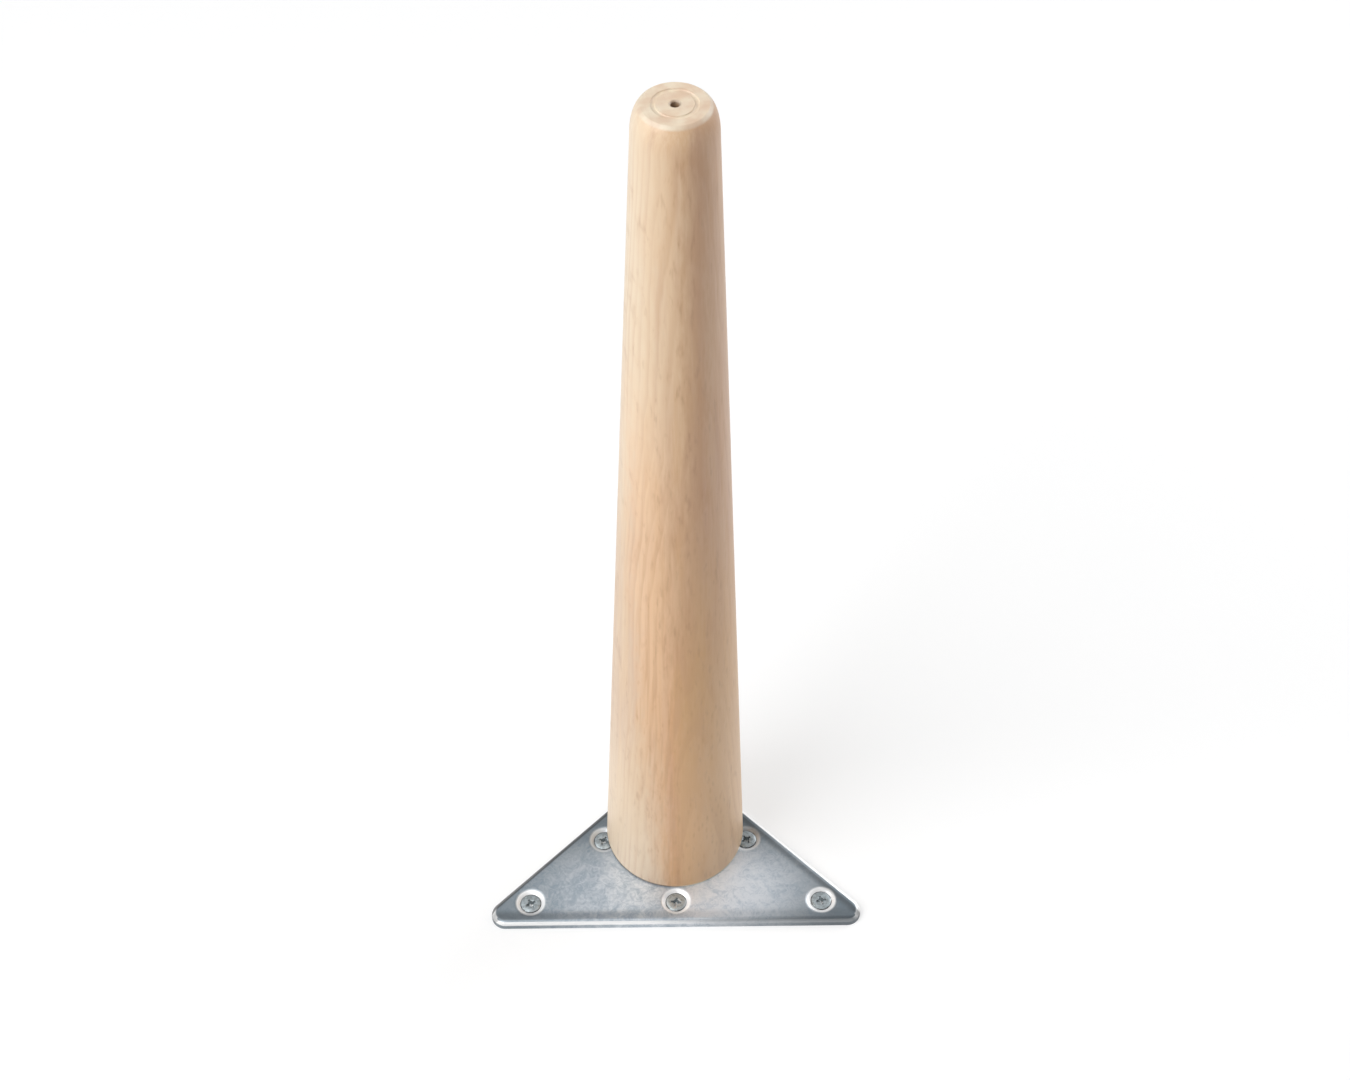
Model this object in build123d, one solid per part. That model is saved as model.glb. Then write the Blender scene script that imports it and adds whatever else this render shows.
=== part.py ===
from build123d import *

import os
from math import cos, radians, sin, tan

# A round, tapered wooden furniture leg on a triangular pressed-steel mounting plate, with the
# bolt that joins the two and the six wood screws that go through the plate. Sizes are
# millimetres. The origin is on the leg's axis, in the mounting plane, which the plate's rim
# stands on. +Z runs up the leg to its foot end, and the plate's long edge faces -Y.

# Turned leg
leg_length = 396.0
leg_base_radius = 30.0
leg_end_radius = 13.4  # where the straight taper would meet the foot end
end_round_width = 3.35  # the foot end is rounded along an arc of an ellipse
end_round_height = 10.5
base_chamfer = 0.8
drive_ring_radius = 6.7  # ring left in the foot end by the lathe's drive
drive_ring_width = 1.6
drive_ring_depth = 0.55
centre_hole_radius = 1.4
centre_hole_depth = 5.0

# Countersunk wood screws
screw_length = 20.0
screw_head_radius = 4.5
screw_head_rim = 0.3
screw_thread_radius = 2.25
neck_step = 0.25  # the plain neck is this much thinner than the thread, on the radius
screw_tip_length = 4.5
screw_tip_radius = 0.3
thread_start_depth = 0.25  # below the mounting plane
recess_span = 4.8
recess_floor_span = 1.8
recess_blade_width = 0.95
recess_core_radius = 1.35
recess_core_floor_radius = 0.6
recess_depth = 2.3

# Hanger bolt
bolt_length = 50.0
bolt_thread_radius = 4.0
bolt_machine_length = 18.0
bolt_shank_radius = 3.4
bolt_shank_length = 4.0
bolt_tip_length = 7.0
bolt_tip_radius = 0.8
bolt_chamfer = 0.7
bolt_end_gap = 0.6  # from the bolt's flat end to the mounting plane

# Mounting plate
sheet_thickness = 2.0
rim_bend_radius = 0.5  # inside of the bend
dimple_bend_radius = 1.4  # inside of the bend
corner_inner_radius = 4.0
hole_span = 125.0  # between the two screws at the ends of the long edge
front_screw_gap = 2.1  # from the leg's base to the head of the screw in front of it
rim_flat = 0.85  # flat stretch between a dimple and the bend of the rim
head_recess = 0.8  # the screw heads lie this far below the plate's top
head_lift = 0.4  # from the narrow ends of the screw heads to the mounting plane
collar_wall = 2.2
collar_end_gap = 0.5  # from the collar's end to the mounting plane
collar_chamfer = 0.4

# Fits
screw_hole_gap = 0.35
screw_seat_gap = 0.05
bolt_thread_gap = 0.05
bore_end_gap = 1.0
bore_chamfer = 1.0

# Angles
end_round_arc = 78.0  # short of a quarter turn, so that a faint edge is left round the flat end
seat_angle = 45.0  # of the screw heads and their seats
drill_point_angle = 59.0  # half the point angle of a drill

# How far a cutting or joining solid reaches past the face that it works on
overshoot = 1.0

# Values that follow from the sizes above
screw_neck_radius = screw_thread_radius - neck_step
screw_hole_radius = screw_thread_radius + screw_hole_gap
head_cone_height = (screw_head_radius - screw_neck_radius) / tan(radians(seat_angle))
plate_height = head_lift + head_cone_height + screw_head_rim + head_recess
sheet_underside = plate_height - sheet_thickness
bolt_bore_radius = bolt_thread_radius + bolt_thread_gap
leg_end = plate_height + leg_length

# A dimple is the sheet bent down to the slope of the screw head. Both faces of the sheet bend
# round one centre line, the lip, at lip_x from the hole's axis and at the height lip_z.
lip_outer_radius = dimple_bend_radius + sheet_thickness
seat_depth = head_recess + screw_head_rim + screw_seat_gap
seat_top_radius = screw_head_radius + seat_depth * tan(radians(seat_angle))
lip_x = seat_top_radius + lip_outer_radius * tan(radians(seat_angle / 2))
lip_z = plate_height - lip_outer_radius
edge_margin = lip_x + rim_flat + rim_bend_radius + sheet_thickness

# The six screws stand at the corners of a right-angled triangle and at the middles of its
# edges. The row along the long edge stands just clear of the leg, so that it can be reached.
front_row_offset = leg_base_radius + front_screw_gap + screw_head_radius
half_span = hole_span / 2
quarter_span = hole_span / 4
corner_places = {
    "corner_left": (-half_span, -front_row_offset),
    "corner_right": (half_span, -front_row_offset),
    "corner_back": (0, half_span - front_row_offset),
}
edge_places = {
    "edge_left": (-quarter_span, quarter_span - front_row_offset),
    "edge_right": (quarter_span, quarter_span - front_row_offset),
    "edge_front": (0, -front_row_offset),
}
screw_places = corner_places | edge_places

# How far each screw's cross recess has turned by the time the screw is tight, in degrees
recess_turns = {
    "corner_left": 28.0,
    "corner_right": 12.0,
    "corner_back": 50.0,
    "edge_left": 65.0,
    "edge_right": 34.0,
    "edge_front": 81.0,
}


def turned(*edges):
    """A solid turned about Z from a closed outline of radius and height"""
    return revolve(Plane.XZ * make_face(Curve() + list(edges)), Axis.Z)


def upright_cylinder(radius, low, high):
    return Pos(0, 0, low) * Cylinder(radius, high - low, align=(Align.CENTER, Align.CENTER, Align.MIN))


def upright_cone(low_radius, high_radius, low, high):
    standing = (Align.CENTER, Align.CENTER, Align.MIN)
    return Pos(0, 0, low) * Cone(low_radius, high_radius, high - low, align=standing)


def taper_radius(height):
    """The leg's radius at a height above its base"""
    return leg_base_radius + (leg_end_radius - leg_base_radius) * height / leg_length


def leg_blank():
    """The leg's outer form: a straight taper with a small base chamfer and a rounded foot end"""
    round_start = taper_radius(leg_length - end_round_height)
    arc = radians(end_round_arc)
    half_width = end_round_width / (1 - cos(arc))
    half_height = end_round_height / sin(arc)
    centre = (round_start - half_width, leg_end - end_round_height)
    rounding = EllipticalCenterArc(centre, half_width, half_height, 0, arc_size=end_round_arc)
    rest = Polyline(
        rounding @ 1,
        (0, leg_end),
        (0, plate_height),
        (leg_base_radius - base_chamfer, plate_height),
        (taper_radius(base_chamfer), plate_height + base_chamfer),
        rounding @ 0,
    )
    return turned(rounding, rest)


def drive_marks():
    """What the lathe leaves in the foot end: a round-bottomed ring and a drilled centre hole"""
    half_width = drive_ring_width / 2
    groove_radius = (half_width**2 + drive_ring_depth**2) / (2 * drive_ring_depth)
    ring = Pos(0, 0, leg_end + groove_radius - drive_ring_depth) * Torus(drive_ring_radius, groove_radius)
    floor = leg_end - centre_hole_depth
    point = centre_hole_radius / tan(radians(drill_point_angle))
    hole = upright_cylinder(centre_hole_radius, floor, leg_end + overshoot)
    return ring + hole + upright_cone(0, centre_hole_radius, floor - point, floor)


def bolt_bore():
    """The drilled bore in the leg's base that holds the hanger bolt"""
    floor = bolt_end_gap + bolt_length + bore_end_gap
    point = bolt_bore_radius / tan(radians(drill_point_angle))
    drilled = upright_cylinder(bolt_bore_radius, plate_height - overshoot, floor)
    drilled += upright_cone(bolt_bore_radius, 0, floor, floor + point)
    mouth_radius = bolt_bore_radius + bore_chamfer
    return drilled + upright_cone(mouth_radius, bolt_bore_radius, plate_height, plate_height + bore_chamfer)


def leg():
    return leg_blank() - drive_marks() - bolt_bore()


def plate_outline(inset):
    """The plate's rounded triangle, drawn in from its outer edge by inset"""
    screw_triangle = make_face(Polyline(*corner_places.values(), close=True))
    sharp = offset(screw_triangle, edge_margin - inset, kind=Kind.INTERSECTION)
    return fillet(sharp.vertices(), corner_inner_radius + sheet_thickness - inset)


def rounded_block(inset, height, bend_radius):
    """A block on the plate's outline with its top edge rounded"""
    block = extrude(plate_outline(inset), height)
    return fillet(block.faces().sort_by(Axis.Z)[-1].edges(), bend_radius)


def pan():
    """The flat sheet with its turned-down rim"""
    outside = rounded_block(0, plate_height, rim_bend_radius + sheet_thickness)
    return outside - rounded_block(sheet_thickness, sheet_underside, rim_bend_radius)


def dimple_boss():
    """The full form of a dimple's underside, down to the mounting plane"""
    bend = CenterArc((lip_x, lip_z), dimple_bend_radius, 90, seat_angle)
    slope_top = bend @ 1
    foot_radius = slope_top.X - slope_top.Y * tan(radians(seat_angle))
    middle = plate_height - sheet_thickness / 2
    rest = Polyline(slope_top, (foot_radius, 0), (0, 0), (0, middle), (lip_x, middle), bend @ 0)
    return turned(bend, rest)


def dimple_cut():
    """What is open in a dimple: the bend over its lip, the seat of the screw head and the hole"""
    bend = CenterArc((lip_x, lip_z), lip_outer_radius, 90, seat_angle)
    slope_top = bend @ 1
    seat_foot = slope_top.Y - (slope_top.X - screw_hole_radius) / tan(radians(seat_angle))
    above = plate_height + overshoot
    rest = Polyline(
        slope_top,
        (screw_hole_radius, seat_foot),
        (screw_hole_radius, -overshoot),
        (0, -overshoot),
        (0, above),
        (lip_x, above),
        bend @ 0,
    )
    return turned(bend, rest)


def collar():
    """The threaded collar drawn down from the middle of the sheet"""
    return upright_cylinder(bolt_bore_radius + collar_wall, collar_end_gap, sheet_underside + overshoot)


def collar_cut():
    """The collar's bore, with a chamfer at the plate's top"""
    start = plate_height - collar_chamfer
    mouth = upright_cone(bolt_bore_radius, bolt_bore_radius + collar_chamfer, start, plate_height)
    return upright_cylinder(bolt_bore_radius, -overshoot, plate_height + overshoot) + mouth


def mounting_plate():
    plate = pan() + collar() - collar_cut()
    boss, cut = dimple_boss(), dimple_cut()
    for place in screw_places.values():
        plate = plate + Pos(*place) * boss - Pos(*place) * cut
    return plate


def hanger_bolt():
    """Machine thread at the bottom, plain shank, then a wood thread with a point"""
    low = bolt_end_gap
    shank_low = low + bolt_machine_length
    shank_high = shank_low + bolt_shank_length
    high = low + bolt_length
    outline = Polyline(
        (0, low),
        (bolt_thread_radius - bolt_chamfer, low),
        (bolt_thread_radius, low + bolt_chamfer),
        (bolt_thread_radius, shank_low),
        (bolt_shank_radius, shank_low),
        (bolt_shank_radius, shank_high),
        (bolt_thread_radius, shank_high),
        (bolt_thread_radius, high - bolt_tip_length),
        (bolt_tip_radius, high),
        (0, high),
        close=True,
    )
    return turned(outline)


def cross_recess():
    """The screw's drive recess, cut down from z = 0: two crossed tapering blades and a core"""
    half, floor_half = recess_span / 2, recess_floor_span / 2
    side = Polyline(
        (-half, overshoot),
        (-half, 0),
        (-floor_half, -recess_depth),
        (floor_half, -recess_depth),
        (half, 0),
        (half, overshoot),
        close=True,
    )
    blade = extrude(Plane.XZ * make_face(side), recess_blade_width / 2, both=True)
    core = upright_cone(recess_core_floor_radius, recess_core_radius, -recess_depth, 0)
    return blade + Rot(0, 0, 90) * blade + core


def screw(recess_turn):
    """A countersunk wood screw at its height in the plate, on the Z axis"""
    head_top = plate_height - head_recess
    tip = head_top - screw_length
    outline = Polyline(
        (0, head_top),
        (screw_head_radius, head_top),
        (screw_head_radius, head_top - screw_head_rim),
        (screw_neck_radius, head_lift),
        (screw_neck_radius, -thread_start_depth),
        (screw_thread_radius, -thread_start_depth),
        (screw_thread_radius, tip + screw_tip_length),
        (screw_tip_radius, tip),
        (0, tip),
        close=True,
    )
    return turned(outline) - Pos(0, 0, head_top) * Rot(0, 0, recess_turn) * cross_recess()


def main():
    os.makedirs("parts", exist_ok=True)
    export_step(leg(), "parts/leg.step")
    export_step(mounting_plate(), "parts/mounting_plate.step")
    export_step(hanger_bolt(), "parts/hanger_bolt.step")
    for name, place in screw_places.items():
        placed = Pos(*place) * screw(recess_turns[name])
        export_step(placed, f"parts/screw_{name}.step")


main()
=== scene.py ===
"""A turned beech furniture leg on its pressed steel corner plate: fine shapes, finishes and studio."""

import math

import bpy
from bpy.props import (
    FloatProperty,
    FloatVectorProperty,
    IntProperty,
    PointerProperty,
)
from mathutils import Matrix, Vector


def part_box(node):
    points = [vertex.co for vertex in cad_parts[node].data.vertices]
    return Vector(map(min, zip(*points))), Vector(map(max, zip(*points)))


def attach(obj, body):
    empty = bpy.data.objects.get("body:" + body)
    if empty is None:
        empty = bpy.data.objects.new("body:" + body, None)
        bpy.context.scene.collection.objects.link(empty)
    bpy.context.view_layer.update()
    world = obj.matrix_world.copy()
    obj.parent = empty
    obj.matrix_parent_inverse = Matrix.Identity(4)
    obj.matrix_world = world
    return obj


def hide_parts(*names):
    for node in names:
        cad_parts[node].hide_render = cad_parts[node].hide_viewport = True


bl_info = {
    "name": "Turned Furniture Leg",
    "version": (1, 0, 0),
    "blender": (4, 5, 0),
    "location": "3D View > Sidebar > Furniture Leg",
    "description": "Shapes and finishes of a turned beech leg on a zinc-plated corner plate",
    "category": "Add Mesh",
}

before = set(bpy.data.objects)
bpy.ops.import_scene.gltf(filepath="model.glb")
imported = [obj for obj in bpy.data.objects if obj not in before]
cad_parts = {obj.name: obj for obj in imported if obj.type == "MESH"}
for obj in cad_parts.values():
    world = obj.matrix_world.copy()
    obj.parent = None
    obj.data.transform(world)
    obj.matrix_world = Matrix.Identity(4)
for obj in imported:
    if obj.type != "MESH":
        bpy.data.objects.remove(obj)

MM = 0.001
FULL_TURN = 2 * math.pi
BODY = "root"

# Shapes: the tiny radius that stands for a pole, the distance up to which points are merged, and
# how finely curves and threads are stepped
POLE_RADIUS = 0.005 * MM
MERGE_DISTANCE = POLE_RADIUS * 3
TAPER_ROWS = 40
ROUND_STEPS = 14
RING_STEPS = 16
CORE_SIDES = 24
TURN_STEPS = 18

# How high a tooth's flanks would meet, as a share of its height, if its crest weren't cut flat
TOOTH_RISE = 1.15

# How far below the shank's surface the bolt's threads end
THREAD_SINK = POLE_RADIUS * 4

# How far the blocks that cut a recess reach above it and below it, as shares of its depth
WING_SPARE = 0.2
CORE_SPARE = 0.1
CORE_REACH = 0.05

# A face looks down if the height of its normal is below this
DOWNWARDS = -0.5

# The angle between two faces, in degrees, above which their edge is kept sharp or is rounded
SHARP_EDGE = 35
LEG_SHARP_EDGE = 20
ROUNDED_EDGE = 40

# Studio, in metres: the floor's side, the lamps' sides, where they stand and what they point at
FLOOR_SIDE = 12
KEY_SIDE = 1.8
SMALL_SIDE = 1.2
LEG_MIDDLE = (0, 0, 0.2)
KEY_PLACE = (-1.66, -1.12, 1.85)
TOP_PLACE = (-0.62, -0.05, 1.5)
TOP_TARGET = (-0.4, 0, 0.2)
RIM_PLACE = (1.6, 1.1, 1.2)

# The camera's place in metres and its turn in degrees
CAMERA_PLACE = (-6.3 * MM, -501.3 * MM, 787.2 * MM)
CAMERA_TURN = (40.505, 0, -0.72)

# The turn in degrees at which each screw stopped when it was driven home, by the node it stands for
SCREW_TURNS = {
    "screw_corner_left": 28,
    "screw_corner_right": 12,
    "screw_corner_back": 50,
    "screw_edge_left": 65,
    "screw_edge_right": 34,
    "screw_edge_front": 81,
}


def linear(red, green, blue):
    """A colour as a paint chart gives it, 0 to 255 a channel, in the scene's linear light."""
    shares = [channel / 255 for channel in (red, green, blue)]
    return tuple(s / 12.92 if s <= 0.04045 else ((s + 0.055) / 1.055) ** 2.4 for s in shares)


def length(name, description, millimetres):
    """A length that the sidebar shows, given in millimetres."""
    return FloatProperty(
        name=name, description=description, default=millimetres * MM, min=0, precision=5, unit="LENGTH"
    )


def offset(name, description, millimetres):
    """A place along an axis, on either side of zero, given in millimetres."""
    return FloatProperty(name=name, description=description, default=millimetres * MM, unit="LENGTH")


def share(name, description, default):
    """A share from none to all."""
    return FloatProperty(
        name=name, description=description, default=default, min=0, max=1, subtype="FACTOR"
    )


def amount(name, description, default):
    """A plain number from none upwards."""
    return FloatProperty(name=name, description=description, default=default, min=0, precision=4)


def facets(name, description, default):
    """A number of facets round a piece."""
    return IntProperty(name=name, description=description, default=default, min=12)


def angle(name, description, degrees):
    """An angle that the sidebar shows, given in degrees."""
    return FloatProperty(
        name=name, description=description, default=math.radians(degrees), subtype="ANGLE"
    )


def colour(name, description, default):
    """A colour that the sidebar shows as a swatch."""
    return FloatVectorProperty(
        name=name, description=description, default=default, min=0, max=1, size=3, subtype="COLOR"
    )


class LegShape(bpy.types.PropertyGroup):
    """Sizes of the turned leg that its box doesn't give."""

    sides: facets("Sides", "Facets round the leg", 144)
    end_radius: length("End radius", "Radius to which the taper runs at the foot end", 13.4)
    round_width: length("Round width", "How far the rounded foot edge comes in", 3.35)
    round_height: length("Round height", "How far down the rounded foot edge starts", 10.5)
    round_arc: angle("Round arc", "Part of an ellipse that the rounding follows before the flat end", 78)
    base_chamfer: length("Base chamfer", "Chamfer round the base", 0.8)
    ring_radius: length("Ring radius", "Radius of the mark that the lathe's drive left", 6.7)
    ring_width: length("Ring width", "Width of the drive mark", 1.6)
    ring_depth: length("Ring depth", "Depth of the drive mark", 0.55)
    hole_radius: length("Centre hole radius", "Radius of the lathe centre's hole", 1.4)
    hole_mouth: length("Centre hole mouth", "How far the hole's worn mouth flares out", 0.35)
    hole_depth: length("Centre hole depth", "Depth of the lathe centre's hole", 5)
    drill_angle: angle("Drill angle", "Slope of the drill's point", 31)
    bore_gap: length("Bore gap", "Room round the bolt in its bore", 0.05)
    bore_end_gap: length("Bore end gap", "Room beyond the bolt's tip", 1)
    bore_chamfer: length("Bore chamfer", "Chamfer at the bore's mouth", 1)


class ScrewShape(bpy.types.PropertyGroup):
    """Sizes of the countersunk wood screws that their boxes don't give."""

    sides: facets("Sides", "Facets round the head", 64)
    head_rim: length("Head rim", "Height of the head's straight rim", 0.3)
    head_bevel: length("Head bevel", "Worn edge round the head's top", 0.42)
    neck_radius: length("Neck radius", "Radius of the plain neck below the head", 2)
    neck_length: length("Neck length", "Plain neck below the head's cone", 0.65)
    recess_span: length("Recess span", "Width of the cross recess from wing to wing", 4.8)
    recess_floor_span: length("Recess floor span", "Width of the cross recess at its floor", 1.8)
    recess_wing: length("Recess wing", "Thickness of one wing of the cross recess", 0.95)
    recess_wing_floor: share("Recess wing floor", "Share of that thickness left at its floor", 0.8)
    recess_core: length("Recess core", "Radius of the round middle of the cross recess", 1.35)
    recess_core_floor: length("Recess core floor", "Radius of that middle at its floor", 0.6)
    recess_depth: length("Recess depth", "Depth of the cross recess", 2.3)
    edge_softness: length("Edge softness", "Rounding of the recess and the rim", 0.09)
    thread_sides: facets("Thread sides", "Facets round the thread", 36)
    thread_crest: length("Thread crest", "Radius over the thread", 2.25)
    thread_root: length("Thread root", "Radius of the core inside the thread", 1.5)
    pitch: length("Pitch", "Rise of the thread in a turn", 2)
    tooth: share("Tooth", "Share of the pitch that the tooth takes at its foot", 0.5)
    runout: length("Runout", "Height over which the thread dies into the neck", 0.5)
    point_length: length("Point length", "Height of the tapered point", 4.5)
    point_radius: length("Point radius", "Radius of the blunt end of the point", 0.3)


class BoltShape(bpy.types.PropertyGroup):
    """Sizes of the hanger bolt that its box doesn't give."""

    sides: facets("Sides", "Facets round the bolt", 36)
    machine_length: length("Machine length", "Length of the machine thread", 18)
    machine_root: length("Machine root", "Radius at the bottom of the machine thread", 3.25)
    machine_pitch: length("Machine pitch", "Rise of the machine thread in a turn", 1.25)
    machine_tooth: share("Machine tooth", "Share of the pitch that a machine tooth takes", 0.9)
    chamfer: length("Chamfer", "Chamfer of the flat end", 0.7)
    shank_radius: length("Shank radius", "Radius of the plain shank", 3.4)
    shank_length: length("Shank length", "Length of the plain shank", 4)
    wood_root: length("Wood root", "Radius of the core inside the wood thread", 2.8)
    wood_pitch: length("Wood pitch", "Rise of the wood thread in a turn", 3)
    wood_tooth: share("Wood tooth", "Share of the pitch that a wood tooth takes", 0.45)
    runout: length("Runout", "Height over which a thread dies into the shank", 0.6)
    point_length: length("Point length", "Height of the tapered point", 7)
    point_radius: length("Point radius", "Radius of the blunt end of the point", 0.8)


class BeechFinish(bpy.types.PropertyGroup):
    """Colours and figure of the oiled beech."""

    cream: colour("Cream wood", "The paler sapwood side and the sanded foot end", linear(230, 221, 200))
    pale: colour("Pale wood", "Early wood between the year rings", linear(225, 195, 161))
    warm: colour("Warm wood", "Warmer stretches of the wood", linear(207, 163, 120))
    rose: colour("Rosy wood", "Pinker stretches of the wood", linear(196, 154, 125))
    heart: colour("Heart stripe", "The warm stripe of heartwood up the front", linear(207, 150, 92))
    ochre: colour("Ochre wood", "Yellower wood low down beyond the heart stripe", linear(204, 160, 106))
    golden: colour("Golden wood", "Brighter wood near the base", linear(240, 200, 160))
    late: colour("Late wood", "Dense wood at the end of each year's ring", linear(188, 140, 98))
    fleck: colour("Fleck", "The short rays that show as dark dashes", linear(150, 104, 70))
    painted_shade: colour("Dirt", "Dirt in the centre hole and along the base", linear(84, 60, 46))
    pith_side: offset("Pith side", "Sideways place of the tree's pith", -22)
    pith_back: offset("Pith back", "Place of the tree's pith behind the leg", 58)
    ring_width: length("Ring width", "Growth of one year", 2.1)
    roughness: share("Roughness", "Roughness of the oiled surface", 0.5)
    oil: share("Oil", "How much of the surface the oil film covers", 0.5)
    oil_roughness: share("Oil roughness", "Roughness of the oil film", 0.42)
    fibre_depth: length("Fibre depth", "Depth of the relief that fibres and rays make", 0.03)


class ZincFinish(bpy.types.PropertyGroup):
    """Colours of the zinc on plate, screws and bolt."""

    plate: colour("Plate", "Zinc on the pressed plate", linear(238, 243, 249))
    plate_dull: colour("Dull patches", "Duller zinc in the plate's mottle", linear(174, 189, 203))
    rubbed: colour("Glinting zinc", "Zinc rubbed bright on pressed slopes", linear(255, 255, 255))
    plate_far: colour("Shaded zinc", "Darker zinc out towards the corners", linear(106, 117, 124))
    screw: colour("Screw", "Zinc on the screws", linear(188, 198, 202))
    bolt: colour("Bolt", "Zinc on the bolt", linear(190, 192, 188))
    grime_and_shade: colour("Darkening", "Dark film in the recesses", linear(58, 60, 62))
    crown: amount("Crown", "How much the sheet domes towards its middle", 0.0007)
    wave_depth: length("Wave depth", "Depth of the sheet's soft waves", 0.05)
    crystal_depth: length("Crystal depth", "Depth of the sheet's fine grain", 0.004)
    grain_depth: length("Grain depth", "Depth of the grain on the screws and the bolt", 0.008)
    plate_metal: share("Plate metal", "How metallic the plate's flat looks", 0.56)
    hardware_metal: share("Hardware metal", "How metallic the screws and the bolt look", 0.66)


class StudioSetting(bpy.types.PropertyGroup):
    """Camera, floor and lamps."""

    focal_length: amount("Focal length", "Lens of the camera, in mm", 55.61)
    horizon: amount("Horizon", "Brightness of the room near the horizon", 1)
    left: amount("Left", "Brightness of the horizon on the left", 0.3)
    back: amount("Back", "Brightness of the room above and behind the leg", 0.42)
    front: amount("Front", "Brightness of the room above the camera", 0.22)
    fill: amount("Fill", "Light that the room gives from all round", 0.3)
    room: colour("Room", "Colour of the room's light", (0.97, 0.985, 1))
    key: amount("Key lamp", "Strength of the big lamp, in watts", 49)
    top: amount("Top lamp", "Strength of the lamp above, in watts", 7)
    rim: amount("Rim lamp", "Strength of the lamp behind, in watts", 20.5)
    floor: colour("Floor", "Colour of the floor in the picture", linear(250, 250, 250))
    bounce: colour("Bounce", "Colour of the light that the floor throws back", linear(228, 225, 220))
    floor_roughness: share("Floor roughness", "Roughness of the floor's paint", 0.8)
    glow: amount("Floor glow", "Brightness of the floor's own glow in the picture", 1.045)
    glow_share: share("Floor glow share", "Share of the floor in the picture that is glow", 0.5)


class FurnitureLeg(bpy.types.PropertyGroup):
    """All that can be set on the leg and its studio."""

    leg: PointerProperty(type=LegShape)
    screw: PointerProperty(type=ScrewShape)
    bolt: PointerProperty(type=BoltShape)
    beech: PointerProperty(type=BeechFinish)
    zinc: PointerProperty(type=ZincFinish)
    studio: PointerProperty(type=StudioSetting)


class Wire:
    """A shader socket that takes part in arithmetic: each operator adds its Math node."""

    def __init__(self, tree, socket=None):
        self.tree = tree
        self.socket = socket

    def node(self, kind, inputs=None, output=0, **settings):
        """Adds a node: its settings first, then the values or links of its sockets."""
        made = self.tree.nodes.new(kind)
        for name, value in settings.items():
            setattr(made, name, value)
        connect(made.inputs, inputs or {})
        return Wire(self.tree, made.outputs[output])

    def math(self, operation, *operands):
        """The result of a Math node."""
        return self.node("ShaderNodeMath", dict(enumerate(operands)), operation=operation)

    def __add__(self, other):
        return self.math("ADD", self, other)

    __radd__ = __add__

    def __sub__(self, other):
        return self.math("SUBTRACT", self, other)

    def __rsub__(self, other):
        return self.math("SUBTRACT", other, self)

    def __mul__(self, other):
        return self.math("MULTIPLY", self, other)

    __rmul__ = __mul__

    def __truediv__(self, other):
        return self.math("DIVIDE", self, other)

    def __rtruediv__(self, other):
        return self.math("DIVIDE", other, self)

    def __pow__(self, power):
        return self.math("POWER", self, power)

    def rise(self, low, high):
        """0 up to low, 1 from high on, and an easy curve between them."""
        inputs = {"Value": self, "From Min": low, "From Max": high}
        return self.node("ShaderNodeMapRange", inputs, interpolation_type="SMOOTHSTEP")

    def fall(self, low, high):
        """1 up to low, 0 from high on, and an easy curve between them."""
        return 1 - self.rise(low, high)

    def band(self, start, full, fade, end):
        """0 outside start and end, 1 from full to fade, and an easy curve at each side."""
        return self.rise(start, full) * self.fall(fade, end)

    def between(self, low, high):
        """A value from 0 to 1, spread from low to high."""
        return self * (high - low) + low

    def tint(self, start, end):
        """A colour that goes from start to end as this value goes from 0 to 1."""
        inputs = {0: self, 6: opaque(start), 7: opaque(end)}
        return self.node("ShaderNodeMix", inputs, output=2, data_type="RGBA")


def connect(inputs, values):
    """Feeds each input of a node from its wire, or sets it to its value."""
    for key, value in values.items():
        if isinstance(value, Wire):
            value.tree.links.new(value.socket, inputs[key])
        else:
            inputs[key].default_value = value


def opaque(paint):
    """A colour with its alpha, or the wire of one as it is."""
    return paint if isinstance(paint, Wire) else (*paint, 1)


def layered(paint, layers):
    """A colour with others laid over it in turn, each given as its share and its colour."""
    for cover, over in layers:
        paint = cover.tint(paint, over)
    return paint


def new_finish(name):
    """A new material with its shader: the material, a wire to build with, and the shader's inputs."""
    material = bpy.data.materials.new(name)
    material.use_nodes = True
    shader = material.node_tree.nodes["Principled BSDF"]
    return material, Wire(material.node_tree), shader.inputs


def parts(vector):
    """The three parts of a vector."""
    return [vector.node("ShaderNodeSeparateXYZ", {0: vector}, output=axis) for axis in range(3)]


def millimetre_place(wire):
    """The place on the piece in millimetres: the whole of it, and its three parts."""
    place = wire.node("ShaderNodeTexCoord", output="Object")
    scaled = wire.node("ShaderNodeVectorMath", {0: place, "Scale": 1 / MM}, operation="SCALE")
    return scaled, parts(scaled)


def stretched(place, *factors):
    """The place with each axis scaled by its own factor, for a pattern that is longer one way."""
    return place.node("ShaderNodeVectorMath", {0: place, 1: factors}, operation="MULTIPLY")


def noise(place, scale=1.0, detail=2.0, roughness=0.5, distortion=0.0):
    """Cloudy values from 0 to 1; scale is the number of clouds in a unit of place."""
    inputs = {
        "Vector": place,
        "Scale": scale,
        "Detail": detail,
        "Roughness": roughness,
        "Distortion": distortion,
    }
    return place.node("ShaderNodeTexNoise", inputs)


def bump(height, distance, below=None):
    """A relief from a height of 0 to 1, as deep as the distance, laid over the relief below it."""
    inputs = {"Height": height, "Distance": distance}
    if below:
        inputs["Normal"] = below
    return height.node("ShaderNodeBump", inputs)


def distance(east, north):
    """How far away a place is that lies so far east and so far north."""
    return (east * east + north * north) ** 0.5


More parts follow.
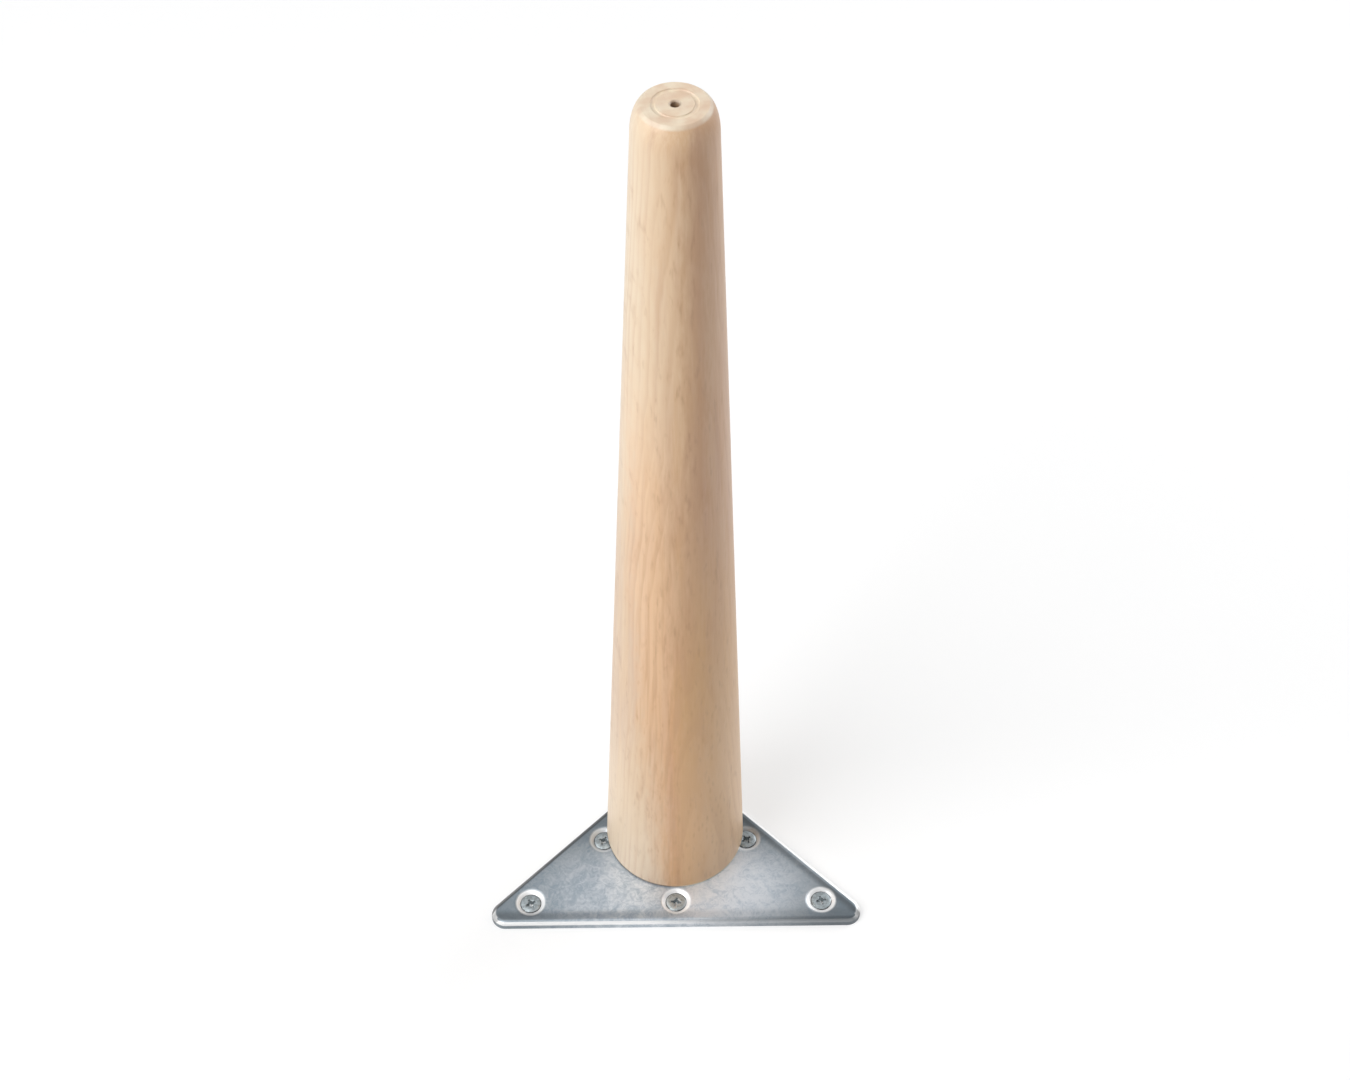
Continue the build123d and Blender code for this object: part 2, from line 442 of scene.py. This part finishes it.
def year_rings(setting, place, outwards):
    """Each year's slow rise to dense late wood and quick fall after it, and a tone for each year."""
    years = outwards / (setting.ring_width / MM)
    phase = years.math("FRACT", years)
    faded = noise(stretched(place, 1, 1, 0.15), 0.12, detail=1).rise(0.35, 0.65).between(0.25, 1)
    whole_year = years.math("FLOOR", years)
    tone = years.node("ShaderNodeTexWhiteNoise", {"W": whole_year}, noise_dimensions="1D")
    return phase.band(0.3, 0.9, 0.88, 1) * faded, tone


def ray_dashes(trunk):
    """The rays where they are cut across: thin dashes, one to a cell and not in every cell."""
    cell = {"Vector": stretched(trunk, 0.03, 0.65, 0.12), "Scale": 1}
    away = trunk.node("ShaderNodeTexVoronoi", cell, output="Distance")
    chance = trunk.node("ShaderNodeTexVoronoi", cell, output="Color")
    shown = trunk.node("ShaderNodeSeparateColor", {0: chance}).rise(0.35, 1)
    return away.fall(0.02, 0.4) * shown


def striped_wood(setting, trunk, across, z, side_grain, figure):
    """The broad stripes up the leg: a painted cream sheen on the lit left, a warm heart stripe and rosy
    wood beyond.

    Across is the place from left to right and z is the height, both in millimetres.
    """
    low_down = z.fall(60, 360)
    tone = figure + low_down * 0.42 - 0.1
    blush = noise(stretched(trunk, 0.22, 0.22, 0.012), detail=1).rise(0.4, 0.6)
    wood = tone.tint(setting.pale, blush.tint(setting.warm, setting.rose))

    # Painted sheen: the lit left side is tinted cream, more so higher up
    lit = across.fall(-22, 2)
    lit_share = z.rise(200, 340).between(0.4, 0.8)
    heart = across.band(-19, -11, -4, 8)
    heart_streaks = noise(stretched(trunk, 0.9, 0.9, 0.012), detail=1).rise(0.45, 0.65)
    golden = (across + (1 - low_down) * 5).band(-18, -9, -6, 2) * z.fall(250, 340)
    golden_share = z.rise(60, 180).between(0.2, 0.45)
    rosy = (across + low_down * 3).rise(2.5, 8.5)
    rosy_colour = low_down.rise(0.3, 0.9).tint(setting.rose, setting.ochre)
    ochre = across.band(-3, 2, 7, 13)
    # Painted light low down: paler wood beside the base on the right lifts its shade, and a painted
    # highlight round the base is brightest on the lit left
    beside_base = across.rise(6, 20) * z.fall(30, 200)
    near_base = z.fall(20, 130)

    # Towards the foot end the wood is paler in front, with a darker streak beside it
    high_up = z.rise(240, 330) * side_grain
    in_front = across.fall(1, 5)
    dark_streak = z.rise(170, 250) * side_grain * across.band(-1, 4, 8, 12)
    layers = [
        (heart * side_grain * low_down.between(0.08, 0.52), setting.heart),
        (rosy * low_down.between(0.5, 0.7), rosy_colour),
        (lit * lit_share, setting.cream),
        (low_down * 0.16, setting.heart),
        (golden * golden_share, setting.golden),
        (heart * low_down * heart_streaks * side_grain * 0.4, setting.late),
        (ochre * low_down * 0.36, setting.ochre),
        (beside_base * 0.6, setting.pale),
        (near_base * lit * 0.7, setting.cream),
        (near_base * (1 - heart) * 0.3, setting.golden),
        (high_up * in_front * 0.5, setting.pale),
        (high_up * lit * 0.35, setting.cream),
        (dark_streak * 0.36, setting.late),
    ]
    return layered(wood, layers)


def beech_finish(setting):
    """Oiled beech: year rings round a pith behind the leg, fine fibres and short dark rays."""
    material, wire, inputs = new_finish("oiled_beech")
    place, (x, y, z) = millimetre_place(wire)
    base, top = (corner.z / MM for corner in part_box("leg"))

    # The tree's own directions: outwards from the pith, round it and along the trunk
    east = x - setting.pith_side / MM
    north = y - setting.pith_back / MM
    wander = noise(stretched(place, 1, 1, 0.22), 0.045, detail=3)
    ripple = noise(stretched(place, 1, 1, 0.1), 0.35)
    outwards = distance(east, north) + wander * 7 + ripple * 0.7
    mean_radius = math.hypot(setting.pith_side, setting.pith_back) / MM
    around = east.math("ARCTAN2", east, north) * mean_radius
    trunk = wire.node("ShaderNodeCombineXYZ", {0: outwards, 1: around, 2: z})

    # The figure: year rings, broad and fine fibres, and rays as thin dashes or as wider flakes.
    # It is fainter round the foot end, where the wood is cut across
    side_grain = 1 - z.rise(top - 12, top - 4) * 0.8
    late_wood, ring_tone = year_rings(setting, place, outwards)
    late_wood = late_wood * (side_grain * 0.8 + 0.2)
    broad = noise(stretched(trunk, 0.32, 0.32, 0.008)).rise(0.3, 0.7)
    fine = noise(stretched(trunk, 1.9, 1.9, 0.03), detail=3, roughness=0.6).rise(0.25, 0.75)
    flake = noise(stretched(trunk, 0.05, 0.6, 0.1), roughness=0.6)
    fleck = flake.rise(0.56, 0.76) * side_grain
    ray = ray_dashes(trunk) * side_grain

    figure = broad * 0.45 + fine * 0.35 + ring_tone * 0.2
    across = x + (wander + flake - 1) * 9
    wood = striped_wood(setting, trunk, across, z, side_grain, figure)

    # The foot end is sanded, and the centre hole in it gets painted shade. The chamfer round the base
    # gets a painted highlight on the right and a painted shadow on the left
    sanded_end = z.rise(top - 1.4, top - 0.6)
    foot_tint = noise(place, 0.16).rise(0.3, 0.7).between(0.45, 0.95)
    painted_base_line = z.fall(base + 1, base + 1.6)
    on_right = x.rise(-8, 6)
    in_hole = distance(x, y).fall(1.3, 2.3) * z.rise(top - 20, top - 10)
    layers = [
        (sanded_end * 0.75, foot_tint.tint(setting.rose, setting.cream)),
        (late_wood * 0.22, setting.late),
        (fleck * 0.2 + ray * 0.16, setting.fleck),
        (painted_base_line * on_right * 0.7, setting.cream),
        (in_hole * 0.5 + painted_base_line * (1 - on_right) * 0.8, setting.painted_shade),
    ]
    wood = layered(wood, layers)
    rough = setting.roughness + (fine - 0.5) * 0.1 + ray * 0.1
    relief = bump(fine * 0.6 - ray - late_wood * 0.3, setting.fibre_depth)
    film = {"Coat Weight": setting.oil, "Coat Roughness": setting.oil_roughness}
    connect(inputs, {"Base Color": wood, "Roughness": rough, "Normal": relief, **film})
    return material


def zinc_plate_finish(setting):
    """Zinc on pressed sheet: a soft crystal mottle, a painted reflection on the flat, painted highlights
    on the slopes and painted shade by the rim.

    The places are in millimetres from the bolt's axis and from the plane that the plate stands on.
    """
    material, wire, inputs = new_finish("mottled_zinc")
    place, (x, y, z) = millimetre_place(wire)
    clouds = noise(place, 0.1, detail=3, roughness=0.6, distortion=1.4).rise(0.35, 0.65)
    crystals = noise(place, 0.36, detail=3, distortion=2.2).rise(0.35, 0.65)
    grain = noise(place, 2.6)
    mottle = clouds * 0.45 + crystals * 0.4 + grain * 0.15

    # The flat has a painted reflection: bright in front of the leg, with faint painted shade on its
    # left, and darker the farther from there
    aside = x - 8
    ahead = y + 30
    widening = x.rise(-10, 15).between(0.3, 0.55)
    past_highlight = ((aside * aside * widening + ahead * ahead * 1.7) ** 0.5).rise(16, 50)
    kept = 1 - past_highlight
    rightwards = x.rise(-5, 12)

    # The pressed slopes below the flat get a painted highlight, weaker on the right of the front and
    # behind
    by_front = y.fall(-44.5, -43.5)
    front_right = y.fall(-45.8, -44.2) * x.rise(-15, 25)
    behind = y.rise(-24, -14)
    slopes = z.rise(1.9, 2.7) * (z + by_front * 0.3).fall(3.8, 3.99)
    pressed = slopes * (1 - front_right * 0.7) * (1 - behind * 0.5)

    # Painted shade lies along the rim's left bend, and fainter painted shade inside the other bends and
    # on the right of the front. The right bend gets a painted highlight
    to_left = (y - x) * math.sqrt(0.5)
    to_right = (y + x) * math.sqrt(0.5)
    left_bend_shade = to_left.rise(25.9, 26.9) * 0.8
    right_bend_shade = to_right.band(22, 24.8, 25.4, 26) * 0.45
    front_shade = y.band(-45.6, -44.8, -43, -39.5) * x.rise(-30, 30).between(0.45, 0.2)
    right_bend = to_right.rise(26.6, 27.3)
    layers = [
        (kept * rightwards * mottle.between(0.2, 0.95), setting.plate),
        (kept * (1 - rightwards) * 0.16, setting.grime_and_shade),
        (past_highlight * 0.88, setting.plate_far),
        (pressed * 0.9, setting.rubbed),
        (left_bend_shade + right_bend_shade + front_shade + front_right * 0.4, setting.grime_and_shade),
        (right_bend * 0.9, setting.rubbed),
    ]
    metal = layered(mottle.tint(setting.plate_dull, setting.plate), layers)
    rough = mottle.between(0.42, 0.3) + pressed * 0.06
    bare = setting.plate_metal - pressed * 0.26 + right_bend * 0.6
    relief = bump((x * x + y * y) * -setting.crown, MM)
    relief = bump(noise(place, 0.35, detail=1), setting.wave_depth, below=relief)
    relief = bump(grain, setting.crystal_depth, below=relief)
    connect(inputs, {"Base Color": metal, "Metallic": bare, "Roughness": rough, "Normal": relief})
    return material


def zinc_hardware_finish(name, setting, metal_colour):
    """Zinc on small turned or rolled steel: darker than the sheet, with a fine grain."""
    material, wire, inputs = new_finish(name)
    place, (_, _, z) = millimetre_place(wire)
    patches = noise(place, 0.8, detail=3).rise(0.42, 0.62)
    grain = noise(place, 5)

    # Painted shade in the cross recess and round the head's top edge, over a painted highlight on the
    # recess floor
    recessed = z.band(1, 1.6, 2.7, 2.9)
    outline = z.band(2.8, 2.9, 3.1, 3.19)
    floor_glint = z.band(0.7, 0.85, 1, 1.4)
    layers = [
        (patches * 0.35 + recessed * 0.2 + outline * 0.7, setting.grime_and_shade),
        (floor_glint * 0.8, setting.rubbed),
    ]
    metal = layered(metal_colour, layers)
    rough = (patches * 0.5 + grain * 0.5).between(0.28, 0.45)
    shine = {"Metallic": setting.hardware_metal, "Roughness": rough}
    connect(inputs, {"Base Color": metal, "Normal": bump(grain, setting.grain_depth), **shine})
    return material


def picture_ray(wire):
    """1 for rays that show the room: straight to the camera, off metal or through glass."""
    camera, glossy, transmission = (
        wire.node("ShaderNodeLightPath", output=f"Is {kind} Ray")
        for kind in ("Camera", "Glossy", "Transmission")
    )
    return camera.math("MAXIMUM", camera, glossy.math("MAXIMUM", glossy, transmission))


def floor_finish(setting):
    """Plain matt paint on the studio floor, which shows white and throws back less."""
    material, wire, inputs = new_finish("studio_floor")
    seen = picture_ray(wire)
    colour_seen = seen.tint(setting.bounce, setting.floor)
    connect(inputs, {"Base Color": colour_seen, "Roughness": setting.floor_roughness})
    nodes = material.node_tree.nodes
    paint = Wire(wire.tree, nodes["Principled BSDF"].outputs[0])
    glow = wire.node("ShaderNodeEmission", {"Color": (1, 1, 1, 1), "Strength": setting.glow})
    surface = wire.node("ShaderNodeMixShader", {0: seen * setting.glow_share, 1: paint, 2: glow})
    wire.tree.links.new(surface.socket, nodes["Material Output"].inputs["Surface"])
    return material


def start_round(radius, height, sides):
    """Starts a piece with a round face at that height, in edit mode and selected."""
    bpy.ops.object.select_all(action="DESELECT")
    bpy.ops.mesh.primitive_circle_add(
        vertices=sides, radius=radius, fill_type="NGON", enter_editmode=True
    )
    bpy.ops.transform.translate(value=(0, 0, height))


def grow(start, end):
    """Extrudes the selected face from one (radius, height) to the next and scales it there."""
    bpy.ops.mesh.extrude_region_move(TRANSFORM_OT_translate={"value": (0, 0, end[1] - start[1])})
    ratio = end[0] / start[0]
    bpy.ops.transform.resize(value=(ratio, ratio, 1), center_override=(0, 0, end[1]))


def close_shell(name, material=None):
    """Leaves edit mode with a closed shell that faces out, in its material."""
    bpy.ops.mesh.select_all(action="SELECT")
    bpy.ops.mesh.remove_doubles(threshold=MERGE_DISTANCE)
    bpy.ops.mesh.normals_make_consistent(inside=False)
    bpy.ops.object.mode_set(mode="OBJECT")
    piece = bpy.context.object
    piece.name = piece.data.name = name
    if material:
        piece.data.materials.append(material)
    return piece


def apply_modifier(piece, kind, **settings):
    """Selects a piece alone, adds a modifier with its settings to it and applies it."""
    bpy.ops.object.select_all(action="DESELECT")
    bpy.context.view_layer.objects.active = piece
    piece.select_set(True)
    modifier = piece.modifiers.new(kind.lower(), kind)
    for name, value in settings.items():
        setattr(modifier, name, value)
    bpy.ops.object.modifier_apply(modifier=modifier.name)


def combine(piece, other, operation):
    """Cuts another solid out of a piece, or joins it on, and removes that solid."""
    apply_modifier(piece, "BOOLEAN", object=other, operation=operation, solver="EXACT")
    bpy.data.objects.remove(other)


def shade_smooth(degrees):
    """Shades the selected piece smooth, but for edges that turn by more degrees than this."""
    bpy.ops.object.shade_smooth_by_angle(angle=math.radians(degrees))


def soften(piece, width):
    """Rounds a piece's sharp edges and shades it smooth between them."""
    limit = {"limit_method": "ANGLE", "angle_limit": math.radians(ROUNDED_EDGE)}
    apply_modifier(piece, "BEVEL", width=width, segments=2, **limit)
    shade_smooth(SHARP_EDGE)


def hand_over(piece, node):
    """Lets a finished piece ride on the body, and hides the node of the frame that it stands for."""
    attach(piece, BODY)
    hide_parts(node)


def turned(profile, sides):
    """Turns a closed solid from its profile, a list of (radius, height) from axis to axis."""
    start_round(*profile[0], sides)
    for start, end in zip(profile, profile[1:]):
        grow(start, end)


def arc(centre, radii, start, end, steps):
    """Points of an elliptic arc in a profile, from one angle to another."""
    angles = [start + (end - start) * step / steps for step in range(steps + 1)]
    return [(centre[0] + radii[0] * math.cos(a), centre[1] + radii[1] * math.sin(a)) for a in angles]


def leg_profile(shape):
    """The leg's profile: up the bolt's bore, out over the base, up the taper and over the foot end."""
    (_, _, base), (widest, _, top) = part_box("leg")
    bolt_low, bolt_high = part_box("hanger_bolt")
    bore_radius = (bolt_high.x - bolt_low.x) / 2 + shape.bore_gap
    bore_end = bolt_high.z + shape.bore_end_gap
    bore_tip = bore_end + bore_radius * math.tan(shape.drill_angle)
    bore = [
        (POLE_RADIUS, bore_tip),
        (bore_radius, bore_end),
        (bore_radius, base + shape.bore_chamfer),
        (bore_radius + shape.bore_chamfer, base),
    ]

    # The leg is widest just above its base chamfer, and tapers straight from there
    low = base + shape.base_chamfer
    high = top - shape.round_height
    slope = (shape.end_radius - widest) / (top - low)
    heights = [low + (high - low) * row / TAPER_ROWS for row in range(TAPER_ROWS)]
    taper = [(widest + slope * (height - low), height) for height in heights]
    base_radius = widest - slope * shape.base_chamfer
    base_edge = [(base_radius - shape.base_chamfer, base)]

    half_width = shape.round_width / (1 - math.cos(shape.round_arc))
    half_height = shape.round_height / math.sin(shape.round_arc)
    round_start = widest + slope * (high - low)
    round_centre = (round_start - half_width, high)
    rounding = arc(round_centre, (half_width, half_height), 0, shape.round_arc, ROUND_STEPS)

    half_ring = shape.ring_width / 2
    ring = arc((shape.ring_radius, top), (half_ring, shape.ring_depth), 0, -math.pi, RING_STEPS)
    hole_end = top - shape.hole_depth
    hole_tip = hole_end - shape.hole_radius * math.tan(shape.drill_angle)
    hole = [
        (shape.hole_radius + shape.hole_mouth, top),
        (shape.hole_radius, top - shape.hole_mouth),
        (shape.hole_radius, hole_end),
        (POLE_RADIUS, hole_tip),
    ]
    return bore + base_edge + taper + rounding + ring + hole


class LEG_OT_turned_leg(bpy.types.Operator):
    """Turn the beech leg, with its bore, its rounded foot end and the lathe's marks"""

    bl_idname = "furniture_leg.turned_leg"
    bl_label = "Turned leg"

    def execute(self, context):
        settings = context.scene.furniture_leg
        turned(leg_profile(settings.leg), settings.leg.sides)
        leg = close_shell("turned_leg", beech_finish(settings.beech))
        shade_smooth(LEG_SHARP_EDGE)
        hand_over(leg, "leg")
        return {"FINISHED"}


class LEG_OT_plate_finish(bpy.types.Operator):
    """Give the pressed plate its mottled zinc"""

    bl_idname = "furniture_leg.plate_finish"
    bl_label = "Plate finish"

    def execute(self, context):
        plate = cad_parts["mounting_plate"]
        plate.material_slots[0].material = zinc_plate_finish(context.scene.furniture_leg.zinc)
        return {"FINISHED"}


def recess_wing(shape, top, quarter_turns):
    """A wing of the cross recess: a block that narrows downwards, with some height to spare."""
    spare = shape.recess_depth * WING_SPARE
    height = shape.recess_depth + spare
    block = (shape.recess_span, shape.recess_wing, height)
    bpy.ops.object.select_all(action="DESELECT")
    bpy.ops.mesh.primitive_cube_add(size=1, enter_editmode=True)
    bpy.ops.transform.resize(value=block, center_override=(0, 0, 0))
    bpy.ops.transform.translate(value=(0, 0, top + spare - height / 2))
    bpy.ops.mesh.select_all(action="DESELECT")
    bpy.ops.object.mode_set(mode="OBJECT")
    wing = bpy.context.object
    for face in wing.data.polygons:
        face.select = face.normal.z < DOWNWARDS
    bpy.ops.object.mode_set(mode="EDIT")
    floor_ratios = (shape.recess_floor_span / shape.recess_span, shape.recess_wing_floor, 1)
    floor_height = top - shape.recess_depth
    bpy.ops.transform.resize(value=floor_ratios, center_override=(0, 0, floor_height))
    bpy.ops.object.mode_set(mode="OBJECT")
    wing.data.transform(Matrix.Rotation(quarter_turns * FULL_TURN / 4, 4, "Z"))
    return wing


def recess_core(shape, top):
    """The round middle of the cross recess: a cone that narrows downwards."""
    spare = shape.recess_depth * CORE_SPARE
    depth = shape.recess_depth * (1 + CORE_REACH)
    bpy.ops.object.select_all(action="DESELECT")
    bpy.ops.mesh.primitive_cone_add(
        vertices=CORE_SIDES,
        radius1=shape.recess_core_floor,
        radius2=shape.recess_core,
        depth=depth + spare,
        location=(0, 0, top + spare - (depth + spare) / 2),
    )
    bpy.ops.object.transform_apply(location=True, rotation=True, scale=True)
    return bpy.context.object


def thread(sides, crest, root, pitch, tooth, stations):
    """A threaded rod between heights: its cam-shaped section is extruded and turned bit by bit.

    Each station is a height and the share of the full radius that the thread has there.
    """
    start_round(crest, stations[0][0], sides)
    bpy.ops.object.mode_set(mode="OBJECT")
    rod = bpy.context.object
    for index, point in enumerate(rod.data.vertices):
        rise = max(0, 1 - abs(2 * index / sides - 1) / tooth)
        radius = min(crest, root + (crest - root) * rise * TOOTH_RISE) * stations[0][1]
        point.co.xy = point.co.xy.normalized() * radius
    bpy.ops.object.mode_set(mode="EDIT")
    for (low, start), (high, end) in zip(stations, stations[1:]):
        steps = max(1, round((high - low) / pitch * TURN_STEPS))
        climb = (high - low) / steps
        for step in range(steps):
            height = low + (high - low) * (step + 1) / steps
            before = start + (end - start) * step / steps
            after = start + (end - start) * (step + 1) / steps
            grow((before, height - climb), (after, height))
            turn = climb / pitch * FULL_TURN
            bpy.ops.transform.rotate(value=-turn, orient_axis="Z", center_override=(0, 0, 0))
    return close_shell("thread")


def screw_profile(shape, head_radius, top):
    """A countersunk screw's profile from the end of its neck up to the middle of its head."""
    rim = top - shape.head_rim
    cone_end = rim - (head_radius - shape.neck_radius)
    neck_end = cone_end - shape.neck_length
    return [
        (POLE_RADIUS, neck_end),
        (shape.neck_radius, neck_end),
        (shape.neck_radius, cone_end),
        (head_radius, rim),
        (head_radius, top - shape.head_bevel / 2),
        (head_radius - shape.head_bevel, top),
        (POLE_RADIUS, top),
    ]


def screw_thread(shape, tip, neck_end):
    """The screw's thread, from its point to where it dies into the neck."""
    point = shape.point_radius / shape.thread_crest
    faded = (shape.neck_radius - shape.edge_softness) / shape.thread_crest
    stations = [
        (tip, point),
        (tip + shape.point_length, 1),
        (neck_end, 1),
        (neck_end + shape.runout, faded),
    ]
    crest, root = shape.thread_crest, shape.thread_root
    return thread(shape.thread_sides, crest, root, shape.pitch, shape.tooth, stations)


def set_screw(pattern, node, turn):
    """Sets a copy of the screw in the hole of its node, turned by that many degrees."""
    low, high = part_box(node)
    middle = (low + high) / 2
    screw = pattern.copy()
    screw.data = pattern.data.copy()
    screw.name = screw.data.name = node.replace("screw", "countersunk_screw")
    bpy.context.collection.objects.link(screw)
    turning = Matrix.Rotation(math.radians(turn), 4, "Z")
    screw.data.transform(Matrix.Translation((middle.x, middle.y, 0)) @ turning)
    hand_over(screw, node)


class LEG_OT_hanger_bolt(bpy.types.Operator):
    """Make the hanger bolt: machine thread, plain shank and wood thread with a point"""

    bl_idname = "furniture_leg.hanger_bolt"
    bl_label = "Hanger bolt"

    def execute(self, context):
        settings = context.scene.furniture_leg
        shape = settings.bolt
        low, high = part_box("hanger_bolt")
        crest = (high.x - low.x) / 2
        shank_low = low.z + shape.machine_length
        shank_high = shank_low + shape.shank_length
        faded = (shape.shank_radius - THREAD_SINK) / crest
        machine = [
            (low.z, 1 - shape.chamfer / crest),
            (low.z + shape.chamfer, 1),
            (shank_low, 1),
            (shank_low + shape.runout, faded),
        ]
        wood = [
            (shank_high - shape.runout, faded),
            (shank_high, 1),
            (high.z - shape.point_length, 1),
            (high.z, shape.point_radius / crest),
        ]
        zinc = zinc_hardware_finish("bolt_zinc", settings.zinc, settings.zinc.bolt)
        start_round(shape.shank_radius, shank_low, shape.sides)
        grow((shape.shank_radius, shank_low), (shape.shank_radius, shank_high))
        bolt = close_shell("threaded_hanger_bolt", zinc)
        threads = (
            (shape.machine_root, shape.machine_pitch, shape.machine_tooth, machine),
            (shape.wood_root, shape.wood_pitch, shape.wood_tooth, wood),
        )
        for sizes in threads:
            combine(bolt, thread(shape.sides, crest, *sizes), "UNION")
        shade_smooth(SHARP_EDGE)
        hand_over(bolt, "hanger_bolt")
        return {"FINISHED"}


class LEG_OT_screws(bpy.types.Operator):
    """Make one countersunk screw and set a copy of it in each hole of the plate"""

    bl_idname = "furniture_leg.screws"
    bl_label = "Screws"

    def execute(self, context):
        settings = context.scene.furniture_leg
        shape = settings.screw
        low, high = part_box("screw_edge_front")
        head_radius = (high.x - low.x) / 2
        profile = screw_profile(shape, head_radius, high.z)
        zinc = zinc_hardware_finish("screw_zinc", settings.zinc, settings.zinc.screw)
        turned(profile, shape.sides)
        pattern = close_shell("screw_pattern", zinc)
        for quarter_turns in range(2):
            combine(pattern, recess_wing(shape, high.z, quarter_turns), "DIFFERENCE")
        combine(pattern, recess_core(shape, high.z), "DIFFERENCE")
        soften(pattern, shape.edge_softness)
        neck_end = profile[0][1]
        combine(pattern, screw_thread(shape, low.z, neck_end), "UNION")
        shade_smooth(SHARP_EDGE)
        for node, turn in SCREW_TURNS.items():
            set_screw(pattern, node, turn)
        bpy.data.objects.remove(pattern)
        return {"FINISHED"}


def lamp(name, watts, side, place, target):
    """A square soft lamp at a place, turned to its target."""
    bpy.ops.object.select_all(action="DESELECT")
    bpy.ops.object.light_add(type="AREA", location=place)
    made = bpy.context.object
    made.name = made.data.name = name
    made.data.shape = "SQUARE"
    made.data.size = side
    made.data.energy = watts
    made.rotation_euler = (Vector(target) - Vector(place)).to_track_quat("-Z", "Y").to_euler()


def light_room(scene, setting):
    """A room that shows white at the horizon and darker above the camera, and gives an even fill."""
    world = bpy.data.worlds.new("studio_room")
    scene.world = world
    world.use_nodes = True
    wire = Wire(world.node_tree)
    sideways, depth, height = parts(wire.node("ShaderNodeTexCoord", output="Generated"))
    above = depth.rise(-0.2, 0.5).between(setting.front, setting.back)
    horizon = sideways.rise(-0.4, -0.1).between(setting.left, setting.horizon)
    shown = height.fall(0.15, 0.5) * (horizon - above) + above
    strength = picture_ray(wire) * (shown - setting.fill) + setting.fill
    background = world.node_tree.nodes["Background"]
    connect(background.inputs, {"Color": opaque(setting.room), "Strength": strength})


class LEG_OT_studio(bpy.types.Operator):
    """Set up the floor, the lamps, the room and the camera"""

    bl_idname = "furniture_leg.studio"
    bl_label = "Studio"

    def execute(self, context):
        setting = context.scene.furniture_leg.studio
        bpy.ops.object.select_all(action="DESELECT")
        bpy.ops.mesh.primitive_plane_add(size=FLOOR_SIDE)
        floor = bpy.context.object
        floor.name = "floor"
        floor.data.materials.append(floor_finish(setting))

        lamp("key_lamp", setting.key, KEY_SIDE, KEY_PLACE, LEG_MIDDLE)
        lamp("top_lamp", setting.top, SMALL_SIDE, TOP_PLACE, TOP_TARGET)
        lamp("rim_lamp", setting.rim, SMALL_SIDE, RIM_PLACE, LEG_MIDDLE)
        light_room(context.scene, setting)

        turn = [math.radians(degrees) for degrees in CAMERA_TURN]
        bpy.ops.object.camera_add(location=CAMERA_PLACE, rotation=turn)
        camera = bpy.context.object
        camera.data.lens = setting.focal_length
        context.scene.camera = camera
        context.scene.view_settings.view_transform = "Standard"
        return {"FINISHED"}


class LEG_PT_sidebar(bpy.types.Panel):
    """The steps that build the leg, and what can be set on them."""

    bl_label = "Furniture Leg"
    bl_idname = "LEG_PT_sidebar"
    bl_space_type = "VIEW_3D"
    bl_region_type = "UI"
    bl_category = "Furniture Leg"

    def draw(self, context):
        for operator in OPERATORS:
            self.layout.operator(operator.bl_idname)
        settings = context.scene.furniture_leg
        for group in settings.__annotations__:
            part = getattr(settings, group)
            for name in part.__annotations__:
                self.layout.prop(part, name)


OPERATORS = (
    LEG_OT_turned_leg,
    LEG_OT_plate_finish,
    LEG_OT_hanger_bolt,
    LEG_OT_screws,
    LEG_OT_studio,
)
CLASSES = (
    LegShape,
    ScrewShape,
    BoltShape,
    BeechFinish,
    ZincFinish,
    StudioSetting,
    FurnitureLeg,
    *OPERATORS,
    LEG_PT_sidebar,
)


def register():
    for made in CLASSES:
        bpy.utils.register_class(made)
    bpy.types.Scene.furniture_leg = PointerProperty(type=FurnitureLeg)


def unregister():
    del bpy.types.Scene.furniture_leg
    for made in reversed(CLASSES):
        bpy.utils.unregister_class(made)


def main():
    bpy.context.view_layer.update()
    register()
    bpy.ops.furniture_leg.turned_leg()
    bpy.ops.furniture_leg.plate_finish()
    bpy.ops.furniture_leg.hanger_bolt()
    bpy.ops.furniture_leg.screws()
    bpy.ops.furniture_leg.studio()


if __name__ == "__main__":
    main()
